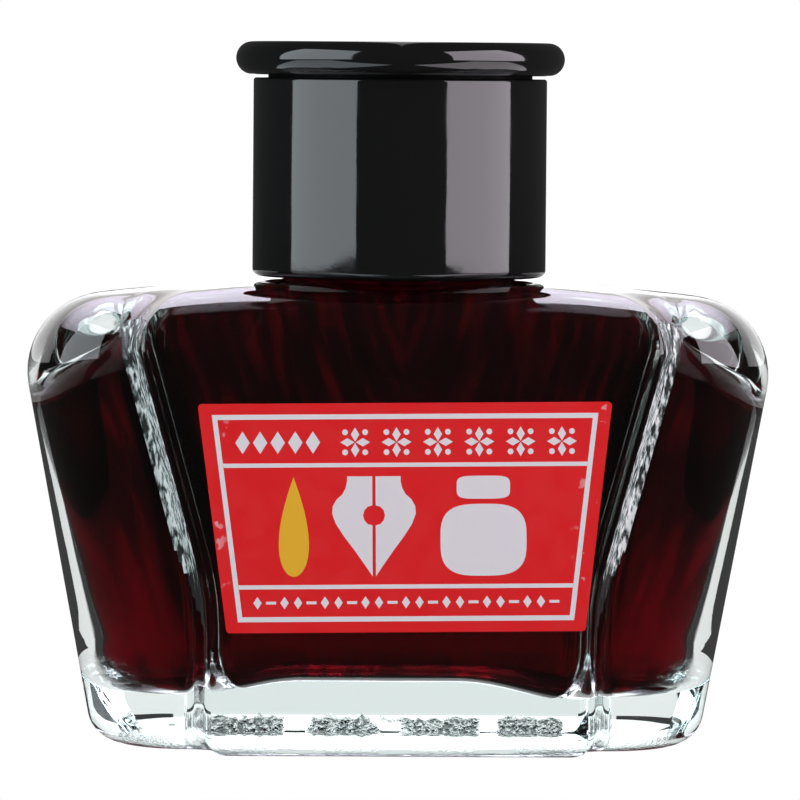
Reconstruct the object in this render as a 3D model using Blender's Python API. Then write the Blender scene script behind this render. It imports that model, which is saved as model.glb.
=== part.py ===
"""Ink bottle with a screw cap, for Blender 4.5.

A glass bottle with a thick middle block and a thinner wing on each side, its ink, a printed
front label, and a cap of four pieces. The bottle stands on z = 0 and faces -Y, and its axis is
the Z axis. Sizes are in millimetres here, and add_piece turns them into Blender's metres.
"""

import math

import bpy
import numpy as np

MM = 0.001
GAP = 0.3  # left between pieces that touch in the real object

# Bottle, outside. Half sizes are from the axis.
SIDE_FOOT = 31.06  # half width that the sloping side would have at z = 0
SIDE_LEAN = 0.186  # and how much it gains for each millimetre of height
SIDE_LEAN_ANGLE = math.atan(SIDE_LEAN)
BLOCK_FOOT = 19.6  # half width of the middle block's front face at the foot
BLOCK_LEAN = 0.275
BLOCK_KNEE = 16.4  # height where the block's sides begin to lean
BLOCK_KNEE_SOFTNESS = 1.6
BLOCK_DEPTH = 18.6
BLOCK_CORNER = 0.8
BLOCK_SPLAY = math.radians(12)  # the block's sides open out towards the wings
WING_DEPTH = 12.6
WING_END = 11.5  # how far the wing's rounded end reaches in
SHORTEST_WING = 0.3  # flat left between the groove and the rounded end
GROOVE_RADIUS = 1.0
GROOVE_MOST_GAIN = 3.0  # how much the groove's radius may grow on an inset outline
SMALLEST_RADIUS = 0.25
HEEL_RADIUS = 2.7
BEARING_WIDTH = 4.0
PUSH_UP = 0.4
PUSH_UP_EDGE = 0.8

# Shoulder
SHOULDER_TOP = 47.35
SHOULDER_SLOPE = 0.1
SHOULDER_FLAT = 14.5  # half width of the level stretch round the neck
SHOULDER_CROWN = 0.0012
FRONT_FILLET = 6.0
END_FILLET = 8.0

# Neck
NECK_RADIUS = 10.85
NECK_FILLET = 1.2
NECK_TOP = 63.0
LIP_RADIUS = 0.7
BORE_RADIUS = 8.4
BORE_FLARE = 2.5
THREAD_PITCH = 3.0
THREAD_HEIGHT = 1.1
THREAD_START = 53.8
THREAD_TURNS = 1.6
THREAD_FADE = 0.15
THREAD_FOOT_WIDTH = 1.0  # half width of the thread where it leaves the neck
THREAD_CREST_WIDTH = 0.35

# Cavity
SHOULDER_WALL = 2.4
WING_ROOF = 3.4  # how much thicker the roof is over the wings
WING_ROOF_START = 24.5
WING_ROOF_END = 31.5
FRONT_WALL = 3.1
END_WALL_FOOT = 5.9  # the wing's end wall, which thins upwards
END_WALL_THINNING = 0.055
BLOCK_SIDE_WALL = 1.4
CAVITY_CORNER = 1.6
CAVITY_FRONT_FILLET = 3.2
CAVITY_END_FILLET = 5.0
FLOOR_FILLET = 3.5
FLOOR_LOW = 5.3
FLOOR_RISE = 2.05
FLOOR_MIDDLE = -2.0
FLOOR_CREST = 8.0
FLOOR_EDGE = 21.0
INK_TOP = 48.6  # the bottle is filled to just inside the neck

# Cap
SKIRT_RADIUS = 15.0
SKIRT_WALL = 1.3
SKIRT_BOTTOM = 47.65
SKIRT_TOP = 67.9
SKIRT_CEILING = 1.4
SKIRT_BOTTOM_ROUND = 0.8
SKIRT_TOP_ROUND = 0.3
DISC_RADIUS = 16.8
DISC_THICKNESS = 3.4
DISC_DISH = 0.25
DISC_DISH_RADIUS = 13.0
SPIGOT_RADIUS = 6.2
COLLAR_RADIUS = 13.5  # the disc's collar, which sits in a recess of the sleeve
RECESS_DEPTH = 0.6
INSERT_ROOT_RADIUS = 12.4
INSERT_BOTTOM = 48.6
INSERT_CEILING = 1.4
INSERT_THREAD_HEIGHT = 1.0
INSERT_THREAD_FOOT_WIDTH = 0.75
INSERT_THREAD_CREST_WIDTH = 0.3
LINER_RADIUS = 11.0
LINER_THICKNESS = 1.2

# Label, a trapezium with round corners
LABEL_TOP_WIDTH = 41.3
LABEL_BOTTOM_WIDTH = 35.8
LABEL_BOTTOM = 12.8
LABEL_HEIGHT = 22.9
LABEL_CORNER = 0.4
LABEL_THICKNESS = 0.15
LABEL_OFFSET = 0.4
LABEL_TURN = math.radians(0.7)

# Points along a quarter of a section: front, corner, side, groove, wing and wing end
FRONT_STEPS, CORNER_STEPS, SIDE_STEPS, GROOVE_STEPS, WING_STEPS, END_STEPS = 6, 2, 1, 2, 1, 4
QUARTER_STEPS = FRONT_STEPS + CORNER_STEPS + SIDE_STEPS + GROOVE_STEPS + WING_STEPS + END_STEPS
RING_STEPS = 4 * QUARTER_STEPS
CAP_SEGMENTS = 48
THREAD_ROW = 0.42  # height between the rings that a thread is made of
SHARP_ANGLE = math.radians(35)


def smooth_step(value, low, high):
    t = np.clip((value - low) / (high - low), 0, 1)
    return t * t * (3 - 2 * t)


def soft_ramp(value, softness):
    """Nothing below 0 and the value itself above it, with a rounded bend between."""
    return softness * np.logaddexp(0, value / softness)


def shoulder_height(x, y):
    """Height of the bottle's outer shoulder, which is level near the neck and falls outwards."""
    fall = SHOULDER_SLOPE * soft_ramp(np.abs(x) - SHOULDER_FLAT, 1.0)
    return SHOULDER_TOP - fall - SHOULDER_CROWN * y**2


def roof_height(x, y):
    """Height of the cavity's roof, which is lower over the wings."""
    extra = WING_ROOF * smooth_step(np.abs(x), WING_ROOF_START, WING_ROOF_END)
    return shoulder_height(x, y) - SHOULDER_WALL - extra


def floor_height(x):
    """Height of the cavity's floor: a low hump across the block, a little off the middle."""
    return FLOOR_LOW + FLOOR_RISE * smooth_step(np.abs(x - FLOOR_MIDDLE), FLOOR_EDGE, FLOOR_CREST)


class Outside:
    """The bottle's outer section."""

    block_depth = BLOCK_DEPTH
    wing_depth = WING_DEPTH
    corner = BLOCK_CORNER
    groove = GROOVE_RADIUS
    front_fillet = FRONT_FILLET
    end_fillet = END_FILLET
    end_wall = 0.0
    end_wall_thinning = 0.0
    side_wall = 0.0
    top = staticmethod(shoulder_height)


class Inside:
    """The cavity's section, a wall's thickness in from the outside."""

    block_depth = BLOCK_DEPTH - FRONT_WALL
    wing_depth = WING_DEPTH - FRONT_WALL
    corner = CAVITY_CORNER
    groove = CAVITY_CORNER
    front_fillet = CAVITY_FRONT_FILLET
    end_fillet = CAVITY_END_FILLET
    end_wall = END_WALL_FOOT
    end_wall_thinning = END_WALL_THINNING
    side_wall = BLOCK_SIDE_WALL
    top = staticmethod(roof_height)


def quarter(section, height, inset):
    """One quarter of a section, from the middle of the front to the wing's end.

    height holds one value for each point, because a row of points need not be level. inset
    moves the outline in by that much. Returns x, y and each point's share of the wing's end.
    """
    end_wall = section.end_wall - section.end_wall_thinning * height
    half_width = SIDE_FOOT + SIDE_LEAN * height - end_wall - inset
    lean = BLOCK_LEAN * soft_ramp(height - BLOCK_KNEE, BLOCK_KNEE_SOFTNESS)
    front_width = BLOCK_FOOT + lean - section.side_wall - inset
    depth = section.block_depth - inset
    wing_depth = section.wing_depth - inset
    corner = np.maximum(section.corner - inset, SMALLEST_RADIUS)
    groove = section.groove + np.minimum(inset, GROOVE_MOST_GAIN)
    out, down = math.cos(BLOCK_SPLAY), math.sin(BLOCK_SPLAY)

    # The side leaves the corner's arc and meets the groove's arc.
    side_x = front_width - corner + corner * out
    side_y = -(depth - corner) - corner * down
    side_length = (-wing_depth - groove + groove * down - side_y) / out
    groove_x = side_x + side_length * down + groove * out
    end_reach = np.minimum(WING_END - inset, half_width - groove_x - SHORTEST_WING)

    x = np.empty_like(height)
    y = np.empty_like(height)
    end_share = np.zeros_like(height)
    first = 0

    def stretch(steps):
        nonlocal first
        picked = slice(first, first + steps)
        first += steps
        return picked, np.arange(steps) / steps

    pick, t = stretch(FRONT_STEPS)
    x[pick] = (front_width - corner)[pick] * t
    y[pick] = -depth[pick]
    pick, t = stretch(CORNER_STEPS)
    angle = -math.pi / 2 + t * (math.pi / 2 - BLOCK_SPLAY)
    x[pick] = (front_width - corner)[pick] + corner[pick] * np.cos(angle)
    y[pick] = -(depth - corner)[pick] + corner[pick] * np.sin(angle)
    pick, t = stretch(SIDE_STEPS)
    x[pick] = side_x[pick] + side_length[pick] * t * down
    y[pick] = side_y[pick] + side_length[pick] * t * out
    pick, t = stretch(GROOVE_STEPS)
    angle = math.pi - BLOCK_SPLAY - t * (math.pi / 2 - BLOCK_SPLAY)
    x[pick] = groove_x[pick] + groove[pick] * np.cos(angle)
    y[pick] = -(wing_depth + groove)[pick] + groove[pick] * np.sin(angle)
    pick, t = stretch(WING_STEPS)
    x[pick] = groove_x[pick] + (half_width - end_reach - groove_x)[pick] * t
    y[pick] = -wing_depth[pick]
    pick = slice(first, first + END_STEPS + 1)
    angle = np.linspace(-math.pi / 2, 0, END_STEPS + 1)
    x[pick] = (half_width - end_reach)[pick] + end_reach[pick] * np.cos(angle)
    y[pick] = wing_depth[pick] * np.sin(angle)
    end_share[pick] = np.round(np.cos(angle) ** 2, 9)
    return x, y, end_share


def whole_ring(x, y, z):
    """A quarter's points, mirrored into a closed ring that runs anticlockwise from the front."""
    last = len(x) - 1
    front = np.stack([x, y, z], axis=1)
    back = front[last - 1 :: -1] * [1, -1, 1]
    right = np.concatenate([front, back])
    return np.concatenate([right, right[-2:0:-1] * [-1, 1, 1]])


def level_ring(section, height, inset):
    levels = np.full(QUARTER_STEPS + 1, float(height))
    x, y, _ = quarter(section, levels, np.full_like(levels, inset))
    return whole_ring(x, y, levels)


def roof_ring(section, turn, inset=0.0):
    """A quarter of the rounded top corner. turn runs from 0, the wall, to 1, the shoulder.

    The wing's end has a larger fillet than the front, and its wall leans.
    """
    level = np.full(QUARTER_STEPS + 1, SHOULDER_TOP)
    share = quarter(section, level, 0 * level)[2]
    in_end = share > 0
    radius = section.front_fillet + (section.end_fillet - section.front_fillet) * share - inset
    wall_lean = SIDE_LEAN_ANGLE * share
    last_angle = math.pi / 2 - math.atan(SHOULDER_SLOPE) * share

    def place(foot, angle):
        pulled = radius * (np.cos(wall_lean) - np.cos(angle))
        x, y, _ = quarter(section, foot, inset + np.where(in_end, 0, pulled))
        x = x - np.where(in_end, pulled * np.sqrt(share), 0)
        y = y * np.where(in_end, 1 - pulled / (section.wing_depth - inset), 1)
        return x, y, foot + radius * (np.sin(angle) + np.sin(wall_lean))

    foot = level - section.end_fillet
    for _ in range(4):
        x, y, z = place(foot, last_angle)
        foot = foot + section.top(x, y) - inset - z
    return place(foot, turn * (last_angle + wall_lean) - wall_lean)


def wall_rings(section, bottom, rows, inset=0.0):
    """Rings up a wall, from a level bottom to the start of the rounded top corner."""
    _, _, top = roof_ring(section, 0.0, inset)
    for row in rows:
        levels = bottom + row * (top - bottom)
        x, y, _ = quarter(section, levels, np.full_like(levels, inset))
        yield whole_ring(x, y, levels)


def circle(radius, height, count, thread=None):
    angle = -math.pi / 2 + 2 * math.pi * np.arange(count) / count
    radii = np.full(count, float(radius))
    if thread is not None:
        radii = radii + thread(angle + math.pi / 2, height)
    return np.stack([radii * np.cos(angle), radii * np.sin(angle), np.full(count, float(height))], axis=1)


def thread_ridge(start, height, foot_width, crest_width):
    """How far a right-handed thread stands out at an angle and a height."""

    def ridge(angle, level):
        turns = np.floor((level - start) / THREAD_PITCH - angle / (2 * math.pi) + 0.5)
        along = turns + angle / (2 * math.pi)
        away = np.abs(level - start - THREAD_PITCH * along)
        rise = np.clip((foot_width - away) / (foot_width - crest_width), 0, 1)
        ends = smooth_step(along, 0, THREAD_FADE) * smooth_step(THREAD_TURNS - along, 0, THREAD_FADE)
        return height * rise * ends

    return ridge


def blend_rings(outer, inner, shares, height):
    """Rings between two others, laid on a height that is a function of place."""
    for share in shares:
        ring = outer + (inner - outer) * share
        ring[:, 2] = height(ring[:, 0], ring[:, 1])
        yield ring


def cavity_rings(inset=0.0):
    """Rings down the flare under the bore, out over the cavity's roof and down to its floor."""

    def roof(x, y):
        return roof_height(x, y) - inset

    def floor(x, _y):
        return floor_height(x) + inset

    flare_top = SHOULDER_TOP - SHOULDER_WALL + BORE_FLARE
    flare = arc((BORE_RADIUS + BORE_FLARE, flare_top), BORE_FLARE + inset, 180, 270, 3)
    yield from turned_rings(flare[:-1], RING_STEPS)
    mouth = circle(BORE_RADIUS + BORE_FLARE, 0, RING_STEPS)
    edge = whole_ring(*roof_ring(Inside, 1.0, inset))
    yield from blend_rings(mouth, edge, (0.0, 0.25, 0.5, 0.65, 0.8, 0.92), roof)
    for turn in (1.0, 0.75, 0.5, 0.25):
        yield whole_ring(*roof_ring(Inside, turn, inset))
    low = FLOOR_LOW + FLOOR_FILLET + FLOOR_RISE
    yield from reversed(list(wall_rings(Inside, low, (0.0, 0.12, 0.3, 0.6, 1.0), inset)))
    for turn in (0.33, 0.67, 1.0):
        angle = turn * math.pi / 2
        pulled = inset + FLOOR_FILLET * (1 - math.cos(angle))
        ring = level_ring(Inside, low, pulled)
        base = floor_height(ring[:, 0]) + inset
        ring[:, 2] = base + (low - base) * (1 - math.sin(angle))
        yield ring
    centre = ring * 0
    yield from blend_rings(ring, centre, (0.4, 0.8), floor)


def bottle_rings():
    """Rings of the whole bottle: up the outside, over the rim, and down the inside."""
    for inset, height in (
        (HEEL_RADIUS + BEARING_WIDTH + PUSH_UP_EDGE, PUSH_UP),
        (HEEL_RADIUS + BEARING_WIDTH, 0.0),
    ):
        yield level_ring(Outside, height, inset)
    for angle in np.radians([0, 30, 60]):
        inset = HEEL_RADIUS * (1 - math.sin(angle))
        yield level_ring(Outside, HEEL_RADIUS * (1 - math.cos(angle)), inset)
    yield from wall_rings(Outside, HEEL_RADIUS, (0.0, 0.2, 0.3, 0.4, 0.6, 1.0))
    for turn in (0.2, 0.4, 0.6, 0.8, 1.0):
        edge = whole_ring(*roof_ring(Outside, turn))
        yield edge
    root = circle(NECK_RADIUS + NECK_FILLET, 0, RING_STEPS)
    yield from blend_rings(edge, root, (0.35, 0.7, 1.0), shoulder_height)
    for angle in np.radians([45, 90]):
        radius = NECK_RADIUS + NECK_FILLET * (1 - math.sin(angle))
        yield circle(radius, SHOULDER_TOP + NECK_FILLET * (1 - math.cos(angle)), RING_STEPS)
    ridge = thread_ridge(THREAD_START, THREAD_HEIGHT, THREAD_FOOT_WIDTH, THREAD_CREST_WIDTH)
    thread_end = THREAD_START + THREAD_PITCH * THREAD_TURNS
    for height in np.arange(THREAD_START - THREAD_FOOT_WIDTH, thread_end + THREAD_FOOT_WIDTH, THREAD_ROW):
        yield circle(NECK_RADIUS, height, RING_STEPS, ridge)
    lip = NECK_TOP - LIP_RADIUS
    profile = arc((NECK_RADIUS - LIP_RADIUS, lip), LIP_RADIUS, 0, 90, 2)
    profile += arc((BORE_RADIUS + LIP_RADIUS, lip), LIP_RADIUS, 90, 180, 2)
    yield from turned_rings(profile, RING_STEPS)
    yield from cavity_rings()


def ink_rings():
    """The cavity's rings, a gap inside it, up to the ink's surface in the neck."""
    surface = circle(BORE_RADIUS - GAP, INK_TOP, RING_STEPS)
    return [surface, *cavity_rings(GAP)][::-1]


def turned_rings(profile, count=CAP_SEGMENTS):
    return [circle(radius, height, count) for radius, height in profile]


def arc(centre, radius, start, end, steps):
    """Points of a profile's arc, with angles in degrees from +radius towards +Z."""
    angles = np.radians(np.linspace(start, end, steps + 1))
    return [(centre[0] + radius * math.cos(a), centre[1] + radius * math.sin(a)) for a in angles]


def skirt_rings():
    """The cap's outer sleeve: a cup, open below, with a recess and a hole on top for the disc."""
    inner = SKIRT_RADIUS - SKIRT_WALL
    bottom = SKIRT_BOTTOM_ROUND
    top = SKIRT_TOP_ROUND
    profile = [(inner, SKIRT_BOTTOM)]
    profile += arc((SKIRT_RADIUS - bottom, SKIRT_BOTTOM + bottom), bottom, -90, 0, 3)
    profile += arc((SKIRT_RADIUS - top, SKIRT_TOP - top), top, 0, 90, 2)
    recess = COLLAR_RADIUS + GAP
    seat = SKIRT_TOP - RECESS_DEPTH
    ceiling = SKIRT_TOP - SKIRT_CEILING
    hole = SPIGOT_RADIUS + GAP
    profile += [(recess, SKIRT_TOP), (recess, seat), (hole, seat), (hole, ceiling), (inner, ceiling)]
    return turned_rings(profile)


def disc_rings():
    """The cap's top disc, with a full round rim, and a collar and spigot in the sleeve."""
    rim = DISC_THICKNESS / 2
    bottom = SKIRT_TOP + GAP
    spigot_end = SKIRT_TOP - SKIRT_CEILING
    collar_end = bottom - RECESS_DEPTH
    profile = [(SPIGOT_RADIUS, spigot_end), (SPIGOT_RADIUS, collar_end)]
    profile += [(COLLAR_RADIUS, collar_end), (COLLAR_RADIUS, bottom)]
    profile += arc((DISC_RADIUS - rim, bottom + rim), rim, -90, 90, 8)
    profile += [(DISC_DISH_RADIUS, bottom + DISC_THICKNESS)]
    profile += [(DISC_DISH_RADIUS - DISC_DISH, bottom + DISC_THICKNESS - DISC_DISH)]
    return turned_rings(profile)


def insert_rings():
    """The threaded inner cap. Its thread runs half a pitch below the neck's."""
    outer = SKIRT_RADIUS - SKIRT_WALL - GAP
    top = SKIRT_TOP - SKIRT_CEILING - GAP
    start = THREAD_START - THREAD_PITCH / 2
    ridge = thread_ridge(
        start, -INSERT_THREAD_HEIGHT, INSERT_THREAD_FOOT_WIDTH, INSERT_THREAD_CREST_WIDTH
    )
    low = start - INSERT_THREAD_FOOT_WIDTH
    high = start + THREAD_PITCH * THREAD_TURNS + INSERT_THREAD_FOOT_WIDTH
    rings = turned_rings([(INSERT_ROOT_RADIUS, top - INSERT_CEILING)])
    for height in np.arange(high, low, -THREAD_ROW):
        rings.append(circle(INSERT_ROOT_RADIUS, height, CAP_SEGMENTS, ridge))
    rings += turned_rings([(INSERT_ROOT_RADIUS, INSERT_BOTTOM), (outer, INSERT_BOTTOM), (outer, top)])
    return rings


def liner_rings():
    bottom = NECK_TOP + GAP
    edge = 0.2
    top = bottom + LINER_THICKNESS
    profile = [(LINER_RADIUS - edge, bottom), (LINER_RADIUS, bottom + edge)]
    profile += [(LINER_RADIUS, top - edge), (LINER_RADIUS - edge, top)]
    return turned_rings(profile)


def label_outline():
    """The label's outline as x and z, anticlockwise as seen from the front."""
    top, bottom = LABEL_TOP_WIDTH / 2, LABEL_BOTTOM_WIDTH / 2
    half = LABEL_HEIGHT / 2
    lean = math.atan2(top - bottom, LABEL_HEIGHT)
    corners = [(-bottom, -half), (bottom, -half), (top, half), (-top, half)]
    turns = [90 - math.degrees(lean), 90 + math.degrees(lean)]
    points = []
    for number, (x, z) in enumerate(corners):
        sweep = math.radians(turns[number > 1])
        start = [math.pi + lean, -math.pi / 2, -lean, math.pi / 2][number]
        towards = start + sweep / 2
        reach = LABEL_CORNER / math.cos(sweep / 2)
        for t in np.linspace(0, 1, 4):
            angle = start + sweep * t
            cx = x - reach * math.cos(towards)
            cz = z - reach * math.sin(towards)
            points.append((cx + LABEL_CORNER * math.cos(angle), cz + LABEL_CORNER * math.sin(angle)))
    return points


def label_rings():
    turned = []
    for x, z in label_outline():
        across = x * math.cos(LABEL_TURN) - z * math.sin(LABEL_TURN) + LABEL_OFFSET
        up = x * math.sin(LABEL_TURN) + z * math.cos(LABEL_TURN) + LABEL_BOTTOM + LABEL_HEIGHT / 2
        turned.append((across, -(BLOCK_DEPTH + GAP), up))
    back = np.array(turned)
    return [back, back - [0, LABEL_THICKNESS, 0]]


def fan(first, count, flip):
    """Faces that close a ring with an even number of points, as strips across it."""
    faces = []
    for i in range(count // 2 - 1):
        a, b, c, d = first + i, first + i + 1, first + count - 2 - i, first + count - 1 - i
        faces.append((a, b, c, d) if flip else (d, c, b, a))
    return faces


def skin(rings, joined=False):
    """Points and faces of a body whose rings run anticlockwise, outside first and going up.

    A joined body closes on its own first ring, and any other is closed across both ends.
    """
    count = len(rings[0])
    points = np.concatenate(rings)
    faces = []
    for row in range(len(rings) if joined else len(rings) - 1):
        below = row * count
        above = (row + 1) % len(rings) * count
        for i in range(count):
            j = (i + 1) % count
            faces.append((below + i, below + j, above + j, above + i))
    if not joined:
        faces += fan(0, count, flip=False)
        faces += fan((len(rings) - 1) * count, count, flip=True)
    return points, faces


def plain_material(name, colour, roughness, transmission=0.0):
    material = bpy.data.materials.new(name)
    material.use_nodes = True
    shader = material.node_tree.nodes["Principled BSDF"]
    shader.inputs["Base Color"].default_value = (*colour, 1)
    shader.inputs["Roughness"].default_value = roughness
    shader.inputs["Metallic"].default_value = 0.0
    shader.inputs["Transmission Weight"].default_value = transmission
    material.diffuse_color = (*colour, 1)
    return material


def add_piece(name, rings, material, parent, joined=False):
    points, faces = skin(rings, joined)
    mesh = bpy.data.meshes.new(name)
    mesh.from_pydata((points * MM).tolist(), [], faces)
    mesh.shade_smooth()
    mesh.set_sharp_from_angle(angle=SHARP_ANGLE)
    mesh.materials.append(material)
    piece = bpy.data.objects.new(name, mesh)
    piece.parent = parent
    bpy.context.scene.collection.objects.link(piece)
    return piece


def add_axis(name, parent=None):
    axis = bpy.data.objects.new(name, None)
    axis.parent = parent
    bpy.context.scene.collection.objects.link(axis)
    return axis


def clear_scene():
    for old in list(bpy.data.objects):
        bpy.data.objects.remove(old, do_unlink=True)


def main():
    clear_scene()
    glass = plain_material("clear_glass", (0.93, 0.97, 0.95), 0.03, transmission=1.0)
    ink = plain_material("red_ink", (0.09, 0.004, 0.01), 0.05)
    paper = plain_material("label_paper", (0.66, 0.017, 0.019), 0.45)
    gloss = plain_material("black_gloss_plastic", (0.007, 0.007, 0.008), 0.08)
    insert_plastic = plain_material("black_insert_plastic", (0.012, 0.012, 0.013), 0.4)
    foam = plain_material("white_foam", (0.75, 0.75, 0.72), 0.8)

    bottle_axis = add_axis("bottle_axis")
    cap_axis = add_axis("cap_axis", bottle_axis)
    add_piece("glass_bottle", list(bottle_rings()), glass, bottle_axis)
    add_piece("ink", ink_rings(), ink, bottle_axis)
    add_piece("front_label", label_rings(), paper, bottle_axis)
    add_piece("cap_skirt", skirt_rings(), gloss, cap_axis, joined=True)
    add_piece("cap_top_disc", disc_rings(), gloss, cap_axis)
    add_piece("cap_thread_insert", insert_rings(), insert_plastic, cap_axis)
    add_piece("cap_liner", liner_rings(), foam, cap_axis)


main()
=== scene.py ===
"""Ink bottle with a screw cap: the model for looks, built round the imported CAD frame.

The bottle, its ink, the cap's two outer pieces and the label are lofted again here at a finer
resolution, with the sizes that the CAD nodes have. The object's sizes are in millimetres, and
add_piece turns them into Blender's metres. Materials, stage and lights have theirs in metres.
"""

import math

import bpy
import numpy as np
from mathutils import Matrix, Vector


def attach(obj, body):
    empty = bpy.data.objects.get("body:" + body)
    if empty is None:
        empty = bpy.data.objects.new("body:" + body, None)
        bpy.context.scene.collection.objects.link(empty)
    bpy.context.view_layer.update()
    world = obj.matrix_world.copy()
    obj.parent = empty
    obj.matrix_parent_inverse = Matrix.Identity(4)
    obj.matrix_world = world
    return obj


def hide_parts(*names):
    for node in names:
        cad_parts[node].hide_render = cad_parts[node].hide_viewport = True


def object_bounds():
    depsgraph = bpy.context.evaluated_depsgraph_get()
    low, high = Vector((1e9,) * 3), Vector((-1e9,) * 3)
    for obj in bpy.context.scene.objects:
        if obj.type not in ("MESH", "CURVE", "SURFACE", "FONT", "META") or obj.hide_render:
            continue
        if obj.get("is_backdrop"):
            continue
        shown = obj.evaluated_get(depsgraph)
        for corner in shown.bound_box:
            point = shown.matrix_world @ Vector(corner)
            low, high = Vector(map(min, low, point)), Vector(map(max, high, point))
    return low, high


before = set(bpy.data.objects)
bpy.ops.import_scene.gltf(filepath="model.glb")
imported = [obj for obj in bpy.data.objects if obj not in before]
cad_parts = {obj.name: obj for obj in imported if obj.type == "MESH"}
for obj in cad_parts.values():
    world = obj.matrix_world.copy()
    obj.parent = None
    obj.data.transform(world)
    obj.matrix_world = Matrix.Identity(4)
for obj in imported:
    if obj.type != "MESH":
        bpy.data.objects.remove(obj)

MM = 0.001
cad_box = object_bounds()

# Bottle, outside. Half sizes are from the axis.
SIDE_FOOT = 31.06  # half width that the sloping side would have at z = 0
SIDE_LEAN = 0.186  # and how much it gains for each millimetre of height
SIDE_LEAN_ANGLE = math.atan(SIDE_LEAN)
BLOCK_FOOT = 19.6  # half width of the middle block's front face at the foot
BLOCK_LEAN = 0.275  # how much it gains for each millimetre of height above the knee
BLOCK_KNEE = 16.4  # height where the block's sides begin to lean
BLOCK_KNEE_SOFTNESS = 1.6
BLOCK_DEPTH = 18.6
BLOCK_CORNER = 0.8
BLOCK_SPLAY = math.radians(12)  # the block's sides open out towards the wings
WING_DEPTH = 12.6
WING_END = 11.5  # how far the wing's rounded end reaches in
SHORTEST_WING = 0.3  # flat left between the groove and the rounded end
GROOVE_RADIUS = 1.0
GROOVE_MOST_GAIN = 3.0  # how much the groove's radius may grow on an inset outline
SMALLEST_RADIUS = 0.25  # of the block's corners on an inset outline
HEEL_RADIUS = 2.7
BEARING_WIDTH = 4.0  # width of the flat ring that the bottle stands on
PUSH_UP = 0.4
PUSH_UP_EDGE = 0.8

# Shoulder
SHOULDER_TOP = 47.35
SHOULDER_SLOPE = 0.1
SHOULDER_FLAT = 14.5  # half width of the level stretch round the neck
SHOULDER_CROWN = 0.0012
FRONT_FILLET = 6.0
END_FILLET = 8.0

# Neck
NECK_RADIUS = 10.85
NECK_FILLET = 1.2
NECK_TOP = 63.0
LIP_RADIUS = 0.7
BORE_RADIUS = 8.4
BORE_FLARE = 2.5
THREAD_PITCH = 3.0
THREAD_HEIGHT = 1.1
THREAD_START = 53.8
THREAD_TURNS = 1.6
THREAD_FADE = 0.15
THREAD_FOOT_WIDTH = 1.0  # half width of the thread where it leaves the neck
THREAD_CREST_WIDTH = 0.35

# Cavity
SHOULDER_WALL = 2.4
WING_ROOF = 3.4  # how much thicker the roof is over the wings
WING_ROOF_START = 24.5
WING_ROOF_END = 31.5
FRONT_WALL = 3.1
END_WALL_FOOT = 5.9  # the wing's end wall, which thins upwards
END_WALL_THINNING = 0.055
BLOCK_SIDE_WALL = 1.4
CAVITY_CORNER = 1.6
CAVITY_FRONT_FILLET = 3.2
CAVITY_END_FILLET = 5.0
FLOOR_FILLET = 3.5
FLOOR_LOW = 5.3
FLOOR_RISE = 2.05
FLOOR_MIDDLE = -2.0  # X of the hump's middle
FLOOR_CREST = 8.0  # half width of the hump's level top
FLOOR_EDGE = 21.0  # and of its foot
INK_TOP = 48.6  # the bottle is filled to just inside the neck
INK_CLEARANCE = 0.02

# The stippled strip in each groove
STRIP_LOW, STRIP_HIGH = 13.5, 43.5  # heights that it runs between
STRIP_TAPER = 7.0  # how much higher its foot is on the wing's side

# Cap
SKIRT_RADIUS = 15.0
SKIRT_WALL = 1.3
SKIRT_BOTTOM = 47.65
SKIRT_TOP = 67.9
SKIRT_CEILING = 1.4
SKIRT_BOTTOM_ROUND = 0.8
SKIRT_TOP_ROUND = 0.3
GAP = 0.3
DISC_RADIUS = 16.8
DISC_THICKNESS = 3.4
DISC_DISH = 0.25
DISC_DISH_RADIUS = 13.0
SPIGOT_RADIUS = 6.2
COLLAR_RADIUS = 13.5  # the disc's collar, which sits in a recess of the sleeve
RECESS_DEPTH = 0.6
DISC_SEAT_ROWS = 3  # rows of faces on the disc's spigot and collar, which are matt

# Label, a trapezium with round corners
LABEL_TOP_WIDTH = 41.3
LABEL_BOTTOM_WIDTH = 35.8
LABEL_BOTTOM = 12.8
LABEL_HEIGHT = 22.9
LABEL_CORNER = 0.4
LABEL_THICKNESS = 0.15
LABEL_OFFSET = 0.4
LABEL_TURN = math.radians(0.7)

# Print on the label, in its own plane: a frame, two divider lines, three pictures and two rows
# of small ornaments. x and z are from the label's middle.
PRINT_LIFT = 0.02
PRINT_FRONT = LABEL_THICKNESS + PRINT_LIFT  # from the label's back, as on_label's lift is
PRINT_BACK = LABEL_THICKNESS - 0.05  # the print starts inside the paper
FRAME_INSET = 1.1
FRAME_SIDE_INSET = 1.27
FRAME_LINE = 0.5
DIVIDERS = (5.28, -6.87)
DIVIDER_LINE = 0.42
PICTURE_MIDDLE = -0.85
PICTURE_HALF = 5.0
DROP_X, DROP_HALF = -11.15, 2.0
NIB_X, NIB_HALF = -3.15, 4.2
NIB_SLIT = 0.16
POT_X, POT_HALF = 7.75, 4.3
TOP_ROW, TOP_ROW_HALF = 7.55, 1.55
BOTTOM_ROW, BOTTOM_ROW_HALF = -8.45, 0.62
LEAF_FIRST, LEAF_LAST, LEAF_COUNT = -16.2, -9.2, 5
LEAF_HALF, LEAF_SHARE = 0.72, 0.72  # half width, and share of the row's height
FLOWER_FIRST, FLOWER_LAST, FLOWER_COUNT = -5.0, 15.6, 6
PETAL_HALF, PETAL_SHARE = 0.42, 0.92  # half width, and share of half that height
DOT_REACH, DOT_RADIUS = 1.0, 0.3
ORNAMENT_REACH, ORNAMENT_COUNT = 14.8, 23  # lozenges and dashes of the bottom row
LOZENGE_HALF = 0.42
DASH_HALF, DASH_LINE_HALF = 0.5, 0.14
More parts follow.
